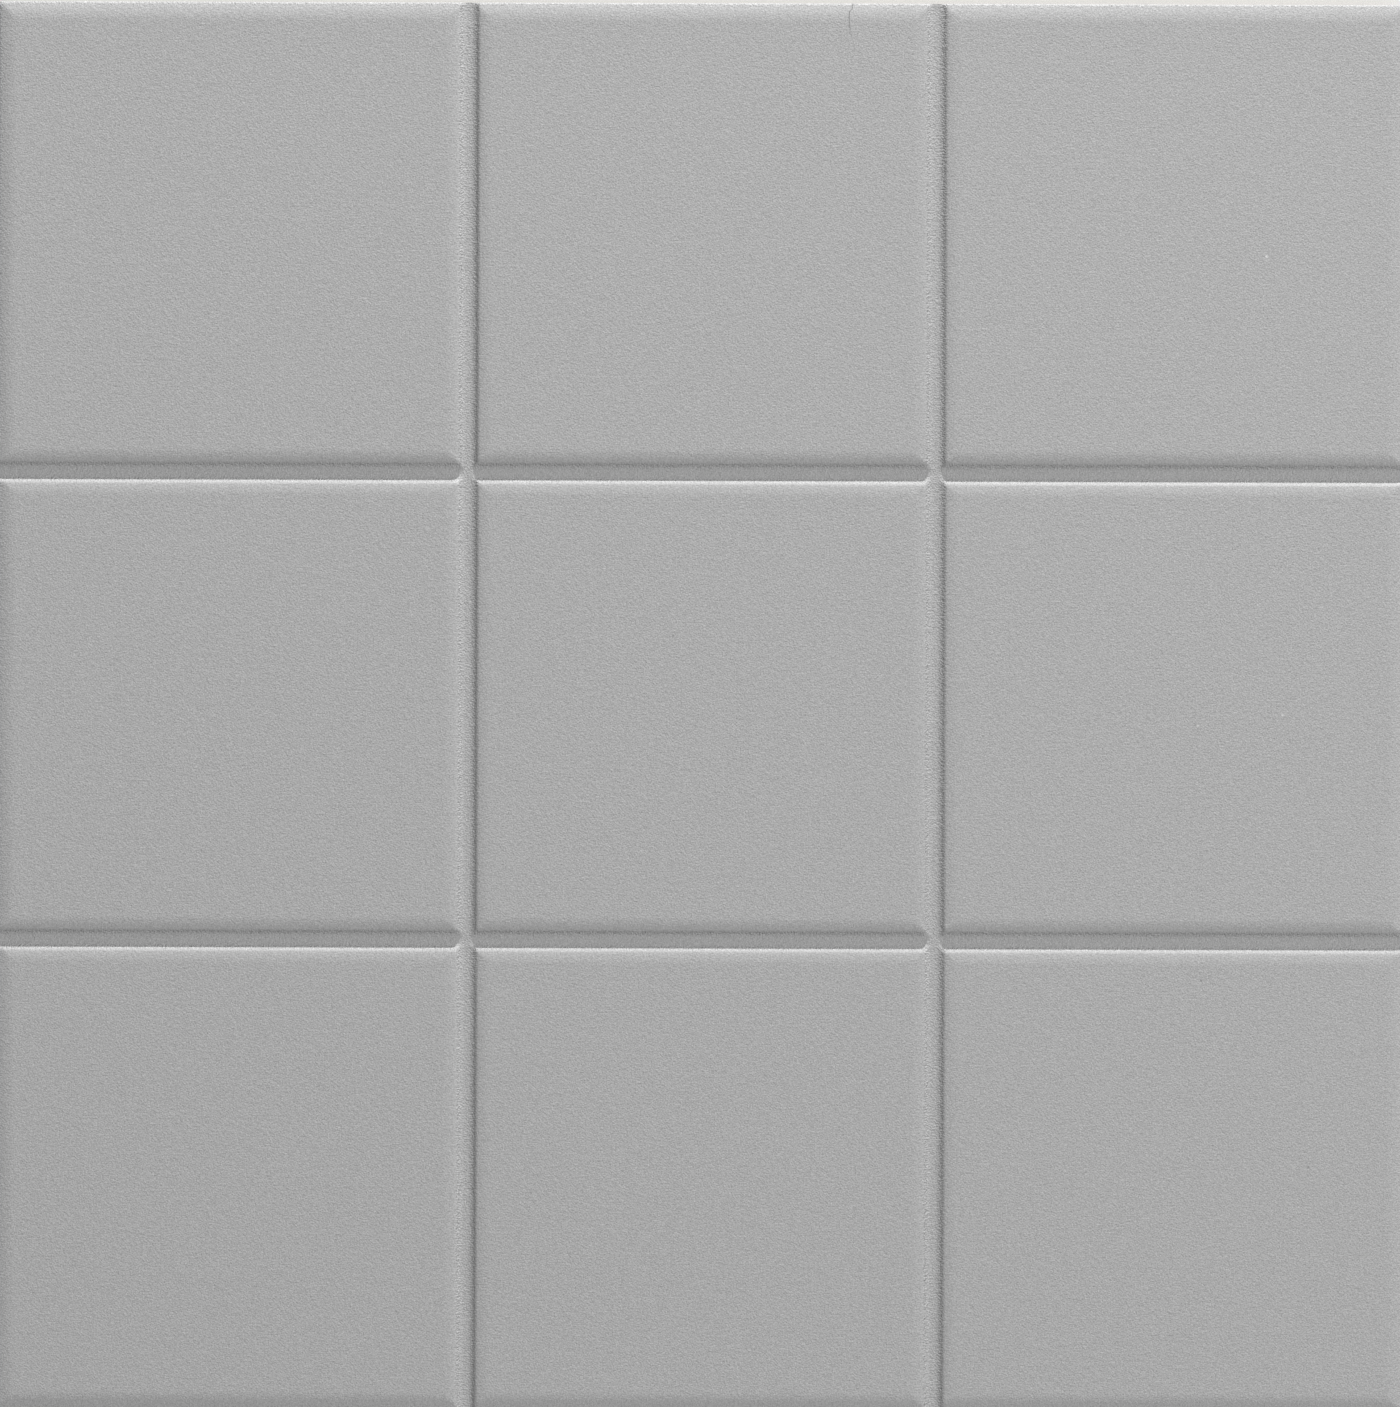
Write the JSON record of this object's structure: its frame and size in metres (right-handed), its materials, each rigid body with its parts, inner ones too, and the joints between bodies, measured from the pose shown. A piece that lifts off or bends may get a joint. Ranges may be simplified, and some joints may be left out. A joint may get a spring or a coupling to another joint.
{
  "type": "ceramic wall tile",
  "caption": "Square matt grey ceramic wall tile, its face pre-scored by mock joints into cushion-edged squares, with a keyed back for bedding in adhesive.",
  "frame": {"origin": "middle of the tile's back, at the lowest point", "axes": "+Z out of the glazed face, +X and +Y along the tile's sides, +Y towards the top of the picture"},
  "size_m": [0.2, 0.2, 0.007],
  "materials": {
    "matt_glaze": "matt grey glaze with a fine sandy grain"
  },
  "bodies": {
    "root": {"wall_tile": "matt_glaze"}
  },
  "joints": []
}
